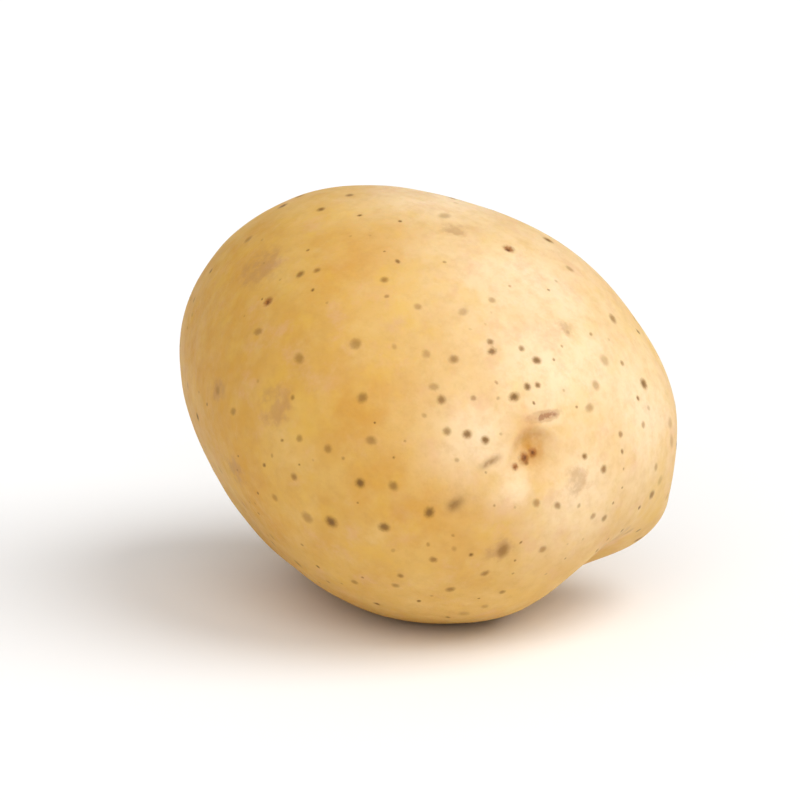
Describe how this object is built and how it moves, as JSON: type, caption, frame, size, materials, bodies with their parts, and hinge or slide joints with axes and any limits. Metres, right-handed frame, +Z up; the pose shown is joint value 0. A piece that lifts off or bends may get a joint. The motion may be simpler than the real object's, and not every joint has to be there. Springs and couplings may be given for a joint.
{
  "type": "potato",
  "caption": "Whole washed yellow-skinned table potato, a lopsided egg shape with shallow eyes under arched brows, a knob beside the rose end and a small flat spot to rest on.",
  "frame": {"origin": "on the surface that the potato rests on, under the middle of its box", "axes": "+X towards the rose end along the potato's length, +Y across it, +Z up from the surface it rests on"},
  "size_m": [0.0794, 0.0642, 0.0612],
  "materials": {
    "skin": "satin"
  },
  "bodies": {
    "root": {"potato": "skin"}
  },
  "joints": []
}
